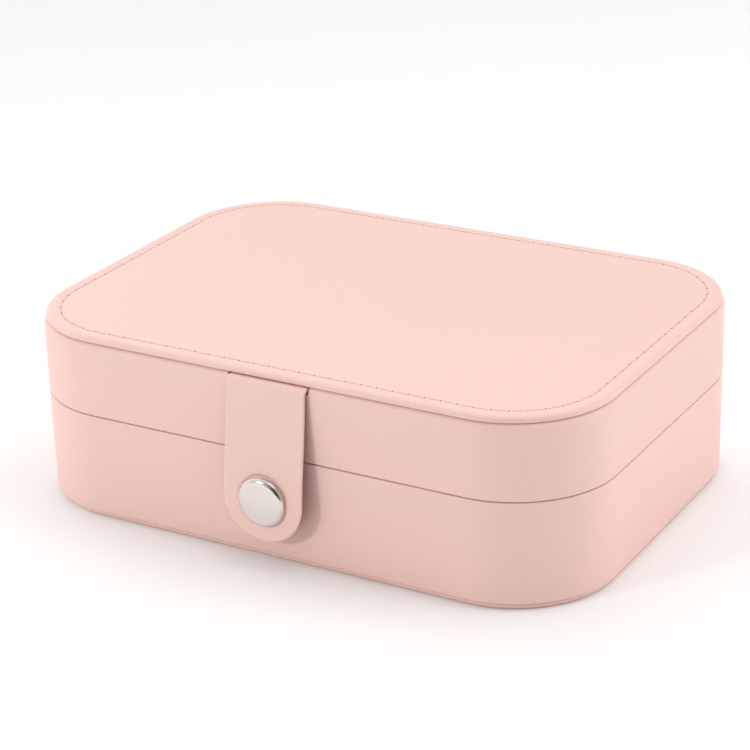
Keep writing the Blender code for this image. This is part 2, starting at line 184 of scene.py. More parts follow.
def spin(centre, axis, degrees, steps):
    """Spins what is selected counterclockwise about an axis. The operator turns the other way."""
    bpy.ops.mesh.spin(steps=steps, angle=-math.radians(degrees), center=centre, axis=axis)


def close_up():
    """Merges what lies together and turns every face outwards."""
    bpy.ops.mesh.select_all(action="SELECT")
    bpy.ops.mesh.remove_doubles(threshold=WELD)
    bpy.ops.mesh.normals_make_consistent(inside=False)


def mend(piece):
    only(piece)
    bpy.ops.object.mode_set(mode="EDIT")
    close_up()


def choose(piece, kind, test):
    """Selects just the vertices, edges or faces whose middle passes the test."""
    bpy.ops.mesh.select_all(action="DESELECT")
    bpy.context.tool_settings.mesh_select_mode = [kind == k for k in ("VERT", "EDGE", "FACE")]
    shape = bmesh.from_edit_mesh(piece.data)
    for part in {"VERT": shape.verts, "EDGE": shape.edges, "FACE": shape.faces}[kind]:
        corners = [part] if kind == "VERT" else part.verts
        middle = sum((v.co for v in corners), Vector()) / len(corners)
        part.select_set(test(middle))
    shape.select_flush_mode()
    bmesh.update_edit_mesh(piece.data)


def cut_across(points, normal):
    """Cuts the whole mesh by a plane through each point."""
    for point in points:
        bpy.ops.mesh.select_all(action="SELECT")
        bpy.ops.mesh.bisect(plane_co=point, plane_no=normal)


def reshape(piece, move):
    """Moves every vertex to where move puts it."""
    nothing_selected()
    for vertex in piece.data.vertices:
        vertex.co = move(vertex.co.copy())
    piece.data.update()


def apply(piece, kind, **values):
    """Adds a modifier with these values and applies it."""
    only(piece)
    modifier = piece.modifiers.new(kind.title(), kind)
    for key, value in values.items():
        setattr(modifier, key, value)
    bpy.ops.object.modifier_apply(modifier=modifier.name)


def smooth(piece, degrees=35):
    only(piece)
    bpy.ops.object.shade_smooth_by_angle(angle=math.radians(degrees))


def copies(name, model, places):
    """One object of many copies of a model, which is used up."""
    nothing_selected()
    made = []
    for spot in places:
        piece = model.copy()
        piece.data = model.data.copy()
        piece.data.transform(spot)
        bpy.context.scene.collection.objects.link(piece)
        piece.select_set(True)
        made.append(piece)
    bpy.context.view_layer.objects.active = made[0]
    bpy.ops.object.join()
    bpy.data.objects.remove(model)
    return named(name)


def dress(piece, material):
    piece.data.materials.clear()
    piece.data.materials.append(material)


def place(piece, body, *nodes):
    """The piece rides on a body and stands for these nodes of the frame."""
    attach(piece, body)
    if nodes:
        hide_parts(*nodes)


def complete(piece, wear, body, *nodes, angle=35):
    """Smooths and dresses a piece, and puts it in its place."""
    smooth(piece, angle)
    wear(piece)
    place(piece, body, *nodes)


def ease(value):
    """A smooth step from 0 to 1."""
    value = min(max(value, 0.0), 1.0)
    return value * value * (3 - 2 * value)


def bell(value, width):
    return math.exp(-((value / width) ** 2))


def arc(centre, radius, start, end, steps):
    """Points of an arc, from start to end in degrees. An ellipse's radius is a pair."""
    across, up = radius if isinstance(radius, tuple) else (radius, radius)
    turns = [math.radians(start + (end - start) * i / steps) for i in range(steps + 1)]
    return [(centre[0] + across * math.cos(t), centre[1] + up * math.sin(t)) for t in turns]


# --------------------------------------------------------------------------------------------------
# Shapes that follow the case's rounded outline


def corner_centre():
    corner = bpy.context.scene.case_sizes.corner
    return HALF_LENGTH - corner, HALF_DEPTH - corner


def run_round(name, section, steps=20):
    """A section of (inset, height) points, carried round the outline. It stays in edit mode."""
    piece = draw_line(name, [(0, inset - HALF_DEPTH, height) for inset, height in section])
    x, y = corner_centre()
    pull((x, 0, 0))
    legs = ((0, 2 * y), (-2 * x, 0), (0, -2 * y), (x, 0))
    for (across, deep), (side, end) in zip(legs, ((1, -1), (1, 1), (-1, 1), (-1, -1))):
        spin((side * x, end * y, 0), (0, 0, 1), 90, steps)
        pull((across, deep, 0))
    close_up()
    return piece


def close_middle(piece, *heights):
    """Fills the open loops at these heights."""
    for height in heights:
        shape = bmesh.from_edit_mesh(piece.data)
        bpy.ops.mesh.select_all(action="DESELECT")
        bpy.context.tool_settings.mesh_select_mode = (False, True, False)
        for edge in shape.edges:
            level = all(abs(v.co.z - height) < WELD for v in edge.verts)
            edge.select_set(edge.is_boundary and level)
        shape.select_flush_mode()
        bpy.ops.mesh.edge_face_add()
    close_up()


def closed(section):
    return section + section[:1]


def along_outline(inset, distance):
    """The x, y and heading this far along the outline, counterclockwise from the front's middle."""
    x, y = corner_centre()
    corner = bpy.context.scene.case_sizes.corner - inset
    bend = corner * math.pi / 2
    lengths = [x, bend, 2 * y, bend, 2 * x, bend, 2 * y, bend, x]
    distance %= sum(lengths)
    here, heading = Vector((0, inset - HALF_DEPTH)), 0.0
    for leg, length in enumerate(lengths):
        part = min(distance, length)
        if leg % 2 == 0:
            here += part * Vector((math.cos(heading), math.sin(heading)))
        else:
            turn = part / corner
            centre = here + corner * Vector((-math.sin(heading), math.cos(heading)))
            heading += turn
            here = centre + corner * Vector((math.sin(heading), -math.cos(heading)))
        distance -= part
        if distance <= 0:
            break
    return here.x, here.y, heading


def outline_length(inset):
    x, y = corner_centre()
    return 4 * (x + y) + 2 * math.pi * (bpy.context.scene.case_sizes.corner - inset)


def turned(name, section, centre, axis, steps=48):
    """A section of (radius, height) points turned about an axis. Heights start at centre."""
    axis = Vector(axis)
    out = Vector((1, 0, 0))
    centre = Vector(centre)
    piece = draw_line(name, [centre + out * radius + axis * height for radius, height in section])
    spin(centre, axis, 360, steps)
    close_up()
    nothing_selected()
    return piece


# --------------------------------------------------------------------------------------------------
# Finishes


def socket_of(node, name):
    return next(s for s in node.inputs if s.name == name and s.enabled)


def add(tree, kind, values=None, **links):
    """A node with its values set by socket or property name, and its sockets linked by name."""
    node = tree.nodes.new(kind)
    for key, value in (values or {}).items():
        if hasattr(node, key):
            setattr(node, key, value)
    for key, value in (values or {}).items():
        if not hasattr(node, key):
            socket_of(node, key).default_value = value
    for key, link in links.items():
        tree.links.new(link, socket_of(node, key.replace("_", " ")))
    return node


def group(name, inputs, outputs):
    """A new shader node group with its sockets, and its input and output nodes."""
    tree = bpy.data.node_groups.new(name, "ShaderNodeTree")
    for label, kind, value in inputs:
        socket = tree.interface.new_socket(label, in_out="INPUT", socket_type="NodeSocket" + kind)
        if value is not None:
            socket.default_value = value
    for label, kind in outputs:
        tree.interface.new_socket(label, in_out="OUTPUT", socket_type="NodeSocket" + kind)
    return tree, tree.nodes.new("NodeGroupInput"), tree.nodes.new("NodeGroupOutput")


def math_node(tree, operation, first, second):
    """A Math node of two values, each a socket or a number."""
    node = tree.nodes.new("ShaderNodeMath")
    node.operation = operation
    for socket, value in zip(node.inputs, (first, second)):
        if isinstance(value, (int, float)):
            socket.default_value = value
        else:
            tree.links.new(value, socket)
    return node.outputs[0]


def grain_group():
    """Pebbled grain: low rounded cells broken up by finer wrinkles."""
    tree, into, out = group(
        "Pebble Grain",
        [("Vector", "Vector", None), ("Cells", "Float", 2600.0), ("Wrinkle", "Float", 0.35)],
        [("Height", "Float"), ("Valleys", "Float")],
    )
    cells = into.outputs["Cells"]
    drift = add(tree, "ShaderNodeTexNoise", {"Detail": 2.0}, Vector=into.outputs["Vector"],
                Scale=math_node(tree, "MULTIPLY", cells, 0.7))
    shift = add(tree, "ShaderNodeVectorMath", {"operation": "SCALE", "Scale": 0.00025},
                Vector=drift.outputs["Color"])
    moved = tree.nodes.new("ShaderNodeVectorMath")
    tree.links.new(into.outputs["Vector"], moved.inputs[0])
    tree.links.new(shift.outputs[0], moved.inputs[1])
    pebbles = add(tree, "ShaderNodeTexVoronoi", {"feature": "SMOOTH_F1", "Smoothness": 0.35},
                  Vector=moved.outputs[0], Scale=cells)
    fine = add(tree, "ShaderNodeTexNoise", {"Detail": 3.0, "Roughness": 0.6},
               Vector=moved.outputs[0], Scale=math_node(tree, "MULTIPLY", cells, 2.3))
    domes = math_node(tree, "SUBTRACT", 1.0, pebbles.outputs["Distance"])
    wrinkles = math_node(tree, "MULTIPLY", fine.outputs[0], into.outputs["Wrinkle"])
    tree.links.new(math_node(tree, "ADD", domes, wrinkles), out.inputs["Height"])
    valleys = add(tree, "ShaderNodeMapRange", {"From Min": 0.35, "From Max": 0.8},
                  Value=pebbles.outputs["Distance"])
    tree.links.new(valleys.outputs[0], out.inputs["Valleys"])
    return tree


def mottle_group():
    """A colour that drifts a little lighter and darker over the surface."""
    tree, into, out = group(
        "Mottle",
        [("Vector", "Vector", None), ("Colour", "Color", (0.5, 0.5, 0.5, 1)),
         ("Patches", "Float", 60.0), ("Strength", "Float", 0.05)],
        [("Colour", "Color"), ("Mask", "Float")],
    )
    wide = add(tree, "ShaderNodeTexNoise", {"Detail": 4.0, "Roughness": 0.55},
               Vector=into.outputs["Vector"], Scale=into.outputs["Patches"])
    spread = add(tree, "ShaderNodeMapRange", {"From Min": 0.3, "From Max": 0.7},
                 Value=wide.outputs[0])
    centred = math_node(tree, "SUBTRACT", spread.outputs[0], 0.5)
    swing = math_node(tree, "MULTIPLY", centred, into.outputs["Strength"])
    value = math_node(tree, "ADD", swing, 1.0)
    tinted = add(tree, "ShaderNodeHueSaturation", Color=into.outputs["Colour"], Value=value)
    tree.links.new(tinted.outputs[0], out.inputs["Colour"])
    tree.links.new(spread.outputs[0], out.inputs["Mask"])
    return tree


def lint_group():
    """Fine specks and fibres that lie on cloth."""
    tree, into, out = group(
        "Lint", [("Vector", "Vector", None), ("Fibres", "Float", 2200.0)],
        [("Mask", "Float"), ("Height", "Float")],
    )
    stretch = add(tree, "ShaderNodeVectorMath", {"operation": "MULTIPLY"},
                  Vector=into.outputs["Vector"])
    stretch.inputs[1].default_value = (1.0, 1.0, 0.45)
    pile = add(tree, "ShaderNodeTexNoise", {"Detail": 5.0, "Roughness": 0.7},
               Vector=stretch.outputs[0], Scale=into.outputs["Fibres"])
    specks = add(tree, "ShaderNodeMapRange", {"From Min": 0.52, "From Max": 0.68},
                 Value=pile.outputs[0])
    tree.links.new(specks.outputs[0], out.inputs["Mask"])
    tree.links.new(pile.outputs[0], out.inputs["Height"])
    return tree


def new_material(name, **constants):
    """A material with its shader's constants set, its tree, shader and Object coordinates."""
    material = bpy.data.materials.new(name)
    material.use_nodes = True
    tree = material.node_tree
    shader = tree.nodes["Principled BSDF"]
    for key, value in constants.items():
        shader.inputs[key.replace("_", " ")].default_value = value
    where = tree.nodes.new("ShaderNodeTexCoord").outputs["Object"]
    return material, tree, shader, where


def placed(tree, shared, **values):
    """A shared node group in this tree, with its inputs linked or set."""
    node = tree.nodes.new("ShaderNodeGroup")
    node.node_tree = bpy.data.node_groups[shared]
    for key, value in values.items():
        if isinstance(value, bpy.types.NodeSocket):
            tree.links.new(value, node.inputs[key])
        else:
            node.inputs[key].default_value = value
    return node


def bumped(tree, shader, height, distance, strength):
    bump = add(tree, "ShaderNodeBump", {"Strength": strength, "Distance": distance}, Height=height)
    tree.links.new(bump.outputs[0], shader.inputs["Normal"])


def coloured(tree, shader, value, where, patches, strength):
    """The base colour through the mottle. It gives the mottle's node."""
    mottle = placed(tree, "Mottle", Vector=where, Colour=(*value, 1), Patches=patches,
                    Strength=strength)
    tree.links.new(mottle.outputs["Colour"], shader.inputs["Base Color"])
    return mottle


def mottled(name, value, patches, strength, rough, **constants):
    """A material whose colour goes through the mottle and whose roughness follows its mask."""
    material, tree, shader, where = new_material(name, **constants)
    mottle = coloured(tree, shader, value, where, patches, strength)
    low, high = rough
    spread = add(tree, "ShaderNodeMapRange", {"To Min": low, "To Max": high},
                 Value=mottle.outputs["Mask"])
    tree.links.new(spread.outputs[0], shader.inputs["Roughness"])
    return material, tree, shader, where, mottle


def tinted(tree, shader, mottle, blend, mask, share, tint):
    """Lays a tint over the mottled colour, where the mask says."""
    mix = add(tree, "ShaderNodeMix", {"data_type": "RGBA", "blend_type": blend})
    tree.links.new(math_node(tree, "MULTIPLY", mask, share), mix.inputs["Factor"])
    tree.links.new(mottle.outputs["Colour"], mix.inputs[6])
    mix.inputs[7].default_value = (*tint, 1)
    tree.links.new(mix.outputs[2], shader.inputs["Base Color"])


def leather_finish(name, value):
    material, tree, shader, where, mottle = mottled(
        name, value, 55.0, 0.035, (0.46, 0.56),
        Specular_IOR_Level=0.42, Sheen_Weight=0.12, Sheen_Roughness=0.45,
    )
    cells = 1 / bpy.context.scene.case_sizes.grain
    grain = placed(tree, "Pebble Grain", Vector=where, Cells=cells, Wrinkle=0.4)
    tinted(tree, shader, mottle, "MULTIPLY", grain.outputs["Valleys"], 0.10, (0.72, 0.55, 0.50))
    bumped(tree, shader, grain.outputs["Height"], 0.00006, 0.8)
    return material


def velvet_finish(name, value):
    material, tree, shader, where, mottle = mottled(
        name, value, 190.0, 0.34, (0.85, 0.97), Specular_IOR_Level=0.2,
        Sheen_Weight=0.8, Sheen_Roughness=0.35, Sheen_Tint=(1.0, 0.86, 0.82, 1),
    )
    lint = placed(tree, "Lint", Vector=where, Fibres=2600.0)
    tinted(tree, shader, mottle, "SCREEN", lint.outputs["Mask"], 0.30, (0.9, 0.75, 0.7))
    bumped(tree, shader, lint.outputs["Height"], 0.00022, 0.9)
    return material


def pocket_finish(name, value):
    """A close plain weave that follows the cloth's own map, with a satin sheen."""
    material, tree, shader, where, _ = mottled(
        name, value, 90.0, 0.10, (0.55, 0.68),
        Specular_IOR_Level=0.35, Sheen_Weight=0.5, Sheen_Roughness=0.3,
    )
    flat = tree.nodes.new("ShaderNodeUVMap")
    flat.uv_map = "cloth"
    threads = []
    for direction in ("X", "Y"):
        wave = add(tree, "ShaderNodeTexWave", {"bands_direction": direction, "Scale": 1100.0,
                                               "Distortion": 0.6, "Detail": 1.0},
                   Vector=flat.outputs[0])
        threads.append(wave.outputs[1])
    woven = math_node(tree, "MULTIPLY", *threads)
    lint = placed(tree, "Lint", Vector=where, Fibres=1500.0)
    height = math_node(tree, "ADD", woven, math_node(tree, "MULTIPLY", lint.outputs["Height"], 0.6))
    bumped(tree, shader, height, 0.00006, 0.8)
    return material


def metal_finish(name, value):
    """Nickel plate with fine turning lines and a few hairline scratches."""
    material, tree, shader, where = new_material(name, Metallic=1.0)
    mottle = coloured(tree, shader, value, where, 220.0, 0.05)
    line = add(tree, "ShaderNodeMapping", Vector=where)
    line.inputs["Rotation"].default_value = (0.3, 0.5, 0.9)
    line.inputs["Scale"].default_value = (9000.0, 320.0, 320.0)
    hair = add(tree, "ShaderNodeTexNoise", {"Scale": 1.0, "Detail": 2.0}, Vector=line.outputs[0])
    scratched = add(tree, "ShaderNodeMapRange", {"From Min": 0.60, "From Max": 0.78},
                    Value=hair.outputs[0])
    worn = math_node(tree, "ADD", math_node(tree, "MULTIPLY", scratched.outputs[0], 0.16),
                     math_node(tree, "MULTIPLY", mottle.outputs["Mask"], 0.05))
    roughness = math_node(tree, "ADD", worn, 0.13)
    tree.links.new(roughness, shader.inputs["Roughness"])
    bumped(tree, shader, scratched.outputs[0], 0.000004, 0.4)
    return material


def board_finish(name, value):
    """Pressed board, and the strap's backing, darkened as painted shade under the strap."""
    material, tree, shader, where, _ = mottled(
        name, value, 400.0, 0.25, (0.82, 0.95), Specular_IOR_Level=0.2
    )
    lint = placed(tree, "Lint", Vector=where, Fibres=900.0)
    bumped(tree, shader, lint.outputs["Height"], 0.00012, 0.8)
    return material


def foam_finish(name, value):
    material, tree, shader, where, _ = mottled(
        name, value, 150.0, 0.08, (0.8, 0.95), Specular_IOR_Level=0.2
    )
    grain = placed(tree, "Pebble Grain", Vector=where, Cells=1600.0, Wrinkle=0.2)
    bumped(tree, shader, grain.outputs["Height"], 0.00025, -0.9)
    return material


def thread_finish(name, value):
    """Twisted sewing thread."""
    material, tree, shader, where, _ = mottled(
        name, value, 900.0, 0.12, (0.5, 0.62), Specular_IOR_Level=0.4, Sheen_Weight=0.2
    )
    twist = add(tree, "ShaderNodeTexWave", {"bands_direction": "DIAGONAL", "Scale": 1500.0},
                Vector=where)
    bumped(tree, shader, twist.outputs[1], 0.00004, 0.7)
    return material


# The holes' dark colour is painted shade for the depth of each needle hole.
def hole_shade_finish(name, value):
    return mottled(name, value, 700.0, 0.3, (0.8, 0.95), Specular_IOR_Level=0.1)[0]


def floor_finish(name, value):
    return mottled(name, value, 3.0, 0.01, (0.7, 0.8), Specular_IOR_Level=0.15)[0]


def finish(name):
    """One of the case's materials, made the first time it is asked for."""
    if name in bpy.data.materials:
        return bpy.data.materials[name]
    colours = bpy.context.scene.case_colours
    if "Mottle" not in bpy.data.node_groups:
        mottle_group()
        grain_group()
        lint_group()
    pale = [0.12 + 0.88 * c for c in colours.leather]
    makers = {
        "pink_leather": lambda: leather_finish(name, colours.leather),
        "strap_suede_and_shade": lambda: board_finish(name, colours.suede_and_shade),
        "velvet": lambda: velvet_finish(name, colours.velvet),
        "pocket_fabric": lambda: pocket_finish(name, colours.pocket),
        "snap_nickel": lambda: metal_finish(name, colours.metal),
        "grey_board": lambda: board_finish(name, colours.board),
        "foam": lambda: foam_finish(name, colours.foam),
        "pink_thread": lambda: thread_finish(name, pale),
        "needle_hole": lambda: hole_shade_finish(name, colours.seam),
        "studio_floor": lambda: floor_finish(name, colours.floor),
    }
    return makers[name]()


def in_leather(piece):
    dress(piece, finish("pink_leather"))


def in_velvet(piece):
    dress(piece, finish("velvet"))


def in_metal(piece):
    dress(piece, finish("snap_nickel"))


def in_fabric(piece):
    dress(piece, finish("pocket_fabric"))


# --------------------------------------------------------------------------------------------------
# Stitches


def stitch_model(length, thread):
    """One stitch along X that comes out of a needle hole, lies on the leather and goes back in."""
    nothing_selected()
    start = Vector((-length / 2, 0, -thread / 2))
    bpy.ops.mesh.primitive_circle_add(
        vertices=6, radius=thread / 2, fill_type="NGON", location=start,
        rotation=(0, math.pi / 2, 0),
    )
    piece = named("stitch")
    settle()
    edit_all()
    arched = 0.45 * thread
    for across, rise in ((0.10, 0.9), (0.18, 0.25), (0.44, 0), (0.18, -0.25), (0.10, -0.9)):
        pull((across * length, 0, rise * arched))
    close_up()
    smooth(piece, 60)
    return piece


def hole_model(radius):
    """One needle hole: a low lip of leather with its middle pressed in, painted dark as its shade.
    """
    nothing_selected()
    bpy.ops.mesh.primitive_circle_add(vertices=8, radius=radius, fill_type="NGON")
    piece = named("needle_hole")
    edit_all()
    pull((0, 0, radius * 0.35))
    bpy.ops.mesh.inset(thickness=radius * 0.35, depth=-radius * 0.2)
    close_up()
    smooth(piece, 60)
    return piece


def sew(name, spots, body, length, thread=0.28 * MM, hole=0.25 * MM):
    """Rows of stitches and their needle holes. Each spot is (place, is_stitch)."""
    stitches = copies(name, stitch_model(length, thread), [p for p, sewn in spots if sewn])
    dress(stitches, finish("pink_thread"))
    place(stitches, body)
    holes = copies(f"{name}_holes", hole_model(hole), [p for p, sewn in spots if not sewn])
    dress(holes, finish("needle_hole"))
    place(holes, body)


def straight_row(half, pitch, depth, height, turn):
    """Spots for one level row across the case, a stitch and a needle hole in turn."""
    count = int(half / pitch)
    spots = []
    for number in range(-2 * count, 2 * count + 1):
        spot = Matrix.Translation((number * pitch / 2, depth, height)) @ turn
        spots.append((spot, number % 2 != 0))
    return spots


# --------------------------------------------------------------------------------------------------
# Outer leather


class CASE_OT_walls(bpy.types.Operator):
    """Model the leather round the base and the lid"""

    bl_idname = "case.walls"
    bl_label = "Outer Walls"

    def execute(self, context):
        self.base_wall()
        self.lid_wall()
        self.bottom_panel()
        return {"FINISHED"}

    def base_wall(self):
        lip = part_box("base_wall_lining")[1]
        turned_in = HALF_DEPTH - lip.y
        low, high = LOW.z, HIGH.z
        edge = 0.22 * MM
        section = (
            [(0.8 * MM, low)]
            + arc((0.3 * MM, low + 0.3 * MM), 0.3 * MM, 270, 180, 4)
            + arc((edge, high - edge), edge, 180, 90, 4)
            + [(turned_in, high), (turned_in, high - 0.5 * MM), (0.8 * MM, high - 0.5 * MM)]
        )
        piece = run_round("base_wall_skin", closed(section))
        complete(piece, in_leather, "base", "base_wall_leather")

    def lid_wall(self):
        """The wall rolls over its top edge and is glued down under the top panel."""
        turned_in = HALF_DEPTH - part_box("lid_wall_lining")[1].y
        low = LID_LOW.z
        roll = 1.7 * MM
        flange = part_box("lid_top_panel")[0].z - 0.14 * MM
        under = flange - 0.14 * MM
        edge = 0.22 * MM
        section = (
            [(0.8 * MM, low + 0.5 * MM), (turned_in, low + 0.5 * MM), (turned_in, low)]
            + arc((edge, low + edge), edge, 270, 180, 4)
            + arc((roll, flange - roll), roll, 180, 90, 10)
            + [(4.2 * MM, flange), (4.2 * MM, under), (1.5 * MM, under)]
            + [(0.95 * MM, flange - 0.5 * MM), (0.8 * MM, flange - roll)]
        )
        piece = run_round("lid_wall_skin", closed(section))
        nothing_selected()
        root_low, root_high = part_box("strap_root")
        gap = 0.3 * MM
        front = -HALF_DEPTH - MM
        back = root_high.y + gap
        floor, top = root_low.z - gap, flange + MM
        bpy.ops.mesh.primitive_cube_add(size=1, location=(0, (front + back) / 2, (floor + top) / 2))
        cutter = named("strap_slot_cutter")
        cutter.scale = (2 * (root_high.x + gap), back - front, top - floor)
        settle()
        apply(piece, "BOOLEAN", operation="DIFFERENCE", object=cutter, solver="EXACT")
        bpy.data.objects.remove(cutter)
        complete(piece, in_leather, "lid", "lid_wall_leather")

    def bottom_panel(self):
        low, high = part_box("base_bottom_panel")
        edge = HALF_DEPTH - high.y
        across, up = 1.2 * MM, 0.9 * MM
        section = (
            [(8 * MM, high.z), (edge + 0.15 * MM, high.z), (edge, high.z - 0.15 * MM)]
            + arc((edge + across, low.z + up), (across, up), 180, 270, 6)
            + [(8 * MM, low.z)]
        )
        piece = run_round("base_bottom_skin", section)
        close_middle(piece, low.z, high.z)
        complete(piece, in_leather, "base", "base_bottom_panel")


class CASE_OT_top(bpy.types.Operator):
    """Model the padded top panel and its border of stitches"""

    bl_idname = "case.top"
    bl_label = "Top Panel and Stitches"

    def execute(self, context):
        sizes = context.scene.case_sizes
        low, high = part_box("lid_top_panel")
        edge = HALF_DEPTH - high.y
        across, down = 1.5 * MM, 0.9 * MM

        def height(inset):
            dip = sizes.groove * bell(inset - sizes.stitch_inset, 0.95 * MM)
            rise = sizes.crown * ease((inset - sizes.stitch_inset) / (14 * MM))
            return high.z - dip + rise

        border = [edge + across + 0.35 * MM * i for i in range(1, 14)]
        inner = [border[-1] + 1.3 * MM * i for i in range(1, 13)]
        rim = arc((edge + across, high.z - down), (across, down), 180, 90, 8)
        section = (
            [(8 * MM, low.z), (edge + 0.25 * MM, low.z)]
            + arc((edge + 0.22 * MM, low.z + 0.22 * MM), 0.22 * MM, 270, 180, 4)[1:]
            + [(inset, z - high.z + height(inset)) for inset, z in rim]
            + [(inset, height(inset)) for inset in border + inner]
        )
        piece = run_round("lid_top_skin", section, steps=24)
        close_middle(piece, low.z, section[-1][1])
        complete(piece, in_leather, "lid", "lid_top_panel")
        self.stitches(sizes, height(sizes.stitch_inset))
        return {"FINISHED"}

    def stitches(self, sizes, level):
        length = outline_length(sizes.stitch_inset)
        count = round(length / sizes.stitch_pitch)
        spots = []
        for number in range(2 * count):
            x, y, heading = along_outline(sizes.stitch_inset, length * number / (2 * count))
            spot = Matrix.Translation((x, y, level)) @ Matrix.Rotation(heading, 4, "Z")
            spots.append((spot, number % 2 == 0))
        sew("top_stitches", spots, "lid", STITCH_SHARE * length / count)


# --------------------------------------------------------------------------------------------------
# Hinge


def upright_sheet(name, node, rows, corner, edge, segments):
    """A sheet that fills a node's box, with rounded corners, level rows and soft edges."""
    low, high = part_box(node)
    nothing_selected()
    bpy.ops.mesh.primitive_plane_add(
        size=1, location=(0, (low.y + high.y) / 2, (low.z + high.z) / 2),
        rotation=(math.pi / 2, 0, 0),
    )
    piece = named(name)
    piece.scale = (2 * high.x, high.z - low.z, 1)
    settle()
    edit_all()
    bpy.ops.mesh.bevel(offset=corner, offset_type="OFFSET", segments=5, affect="VERTICES")
    cut_across([(0, 0, z) for z in rows], (0, 0, 1))
    apply(piece, "SOLIDIFY", thickness=high.y - low.y, offset=0)
    apply(piece, "BEVEL", width=edge, segments=segments, limit_method="ANGLE",
          angle_limit=math.radians(60))
    return piece


def rows_between(low, high, close_low, close_high, close, wide):
    """Heights for level cuts, close together from close_low to close_high."""
    heights, z = [], low + wide / 2
    while z < high - wide / 4:
        heights.append(z)
        z += close if close_low <= z < close_high else wide
    return heights


class CASE_OT_hinge(bpy.types.Operator):
    """Model the leather hinge across the back and its lining inside"""

    bl_idname = "case.hinge"
    bl_label = "Hinge"

    def execute(self, context):
        self.outside()
        self.inside()
        return {"FINISHED"}

    def bend(self, piece, node):
        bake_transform(piece)
        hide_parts(node)

    def outside(self):
        low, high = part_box("hinge_strip")
        reach = 3.5 * MM
        rows = rows_between(low.z, high.z, PARTING - reach, PARTING + reach, 0.35 * MM, 1.5 * MM)
        piece = upright_sheet("hinge_strip_leather", "hinge_strip", rows, 2.5 * MM, 0.2 * MM, 3)
        middle = (low.y + high.y) / 2

        def pressed(point):
            point.y -= 0.22 * MM * bell(point.z - PARTING, 0.8 * MM) * (point.y > middle)
            return point

        reshape(piece, pressed)
        smooth(piece)
        in_leather(piece)
        self.bend(piece, "hinge_strip")
        self.stitches(low, high)

    def stitches(self, low, high):
        """One row on the base and one on the lid, just inside the strip's long edges."""
        edge, pitch = 2.2 * MM, 3.6 * MM
        upright = Matrix.Rotation(-math.pi / 2, 4, "X")
        for body, z in (("base", low.z + edge), ("lid", high.z - edge)):
            spots = straight_row(high.x - edge, pitch, high.y, z, upright)
            sew(f"hinge_stitches_{body}", spots, body, STITCH_SHARE * pitch)

    def inside(self):
        low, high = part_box("hinge_lining")
        rows = rows_between(low.z, high.z, low.z, high.z, 0.3 * MM, 0.3 * MM)
        piece = upright_sheet("hinge_lining_velvet", "hinge_lining", rows, 1.0 * MM, 0.15 * MM, 2)
        smooth(piece)
        in_velvet(piece)
        self.bend(piece, "hinge_lining")


# --------------------------------------------------------------------------------------------------
# Strap and snap


def tongue(name, half, length, thickness, spacing):
    """A flat strap with one round end, hanging from the origin down -Z, its thickness along Y.

    length is to the centre of the round end. The rings inside its edge take the rolled shape.
    """
    piece = draw_line(name, [(half, 0, 0), (half, 0, -length)])
    choose(piece, "VERT", lambda p: p.z < -length / 2)
    spin((0, 0, -length), (0, 1, 0), 180, 32)
    pull((0, 0, length))
    bpy.ops.mesh.select_all(action="SELECT")
    bpy.ops.mesh.remove_doubles(threshold=WELD)
    bpy.ops.mesh.edge_face_add()
    total = length + half
    for step in (0.12, 0.16, 0.24):
        bpy.ops.mesh.select_mode(type="FACE")
        choose(piece, "FACE", lambda p: abs(p.x) < half / 4 and MM - total < p.z < -MM)
        bpy.ops.mesh.inset(thickness=step * thickness, use_even_offset=True)
    across = int(2 * half / spacing)
    down = int(total / spacing)
    cut_across([(half * (2 * i / across - 1), 0, 0) for i in range(1, across)], (1, 0, 0))
    rows = [total * i / down for i in range(1, down)]
    cut_across([(0, 0, -row) for row in rows if row < total - MM], (0, 0, 1))
    bpy.ops.mesh.select_all(action="SELECT")
    bpy.ops.mesh.remove_doubles(threshold=0.03 * MM)
    apply(piece, "SOLIDIFY", thickness=thickness, offset=0)
    return piece


def tongue_margin(point, half, length):
    """Distance from the tongue's edge, in its flat shape."""
    if point.z < -length:
        return half - math.hypot(point.x, point.z + length)
    return half - abs(point.x)


def rolled(point, margin, thickness):
    """How far the rolled edge lets a face of the tongue stand off its middle."""
    share = min(max(margin / (0.5 * thickness), 0.0), 1.0)
    return math.copysign(thickness / 2 * (0.45 + 0.55 * math.sqrt(share * (2 - share))), point.y)


def snap_axis():
    low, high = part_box("snap_cap")
    return Vector((0, high.y, (low.z + high.z) / 2))


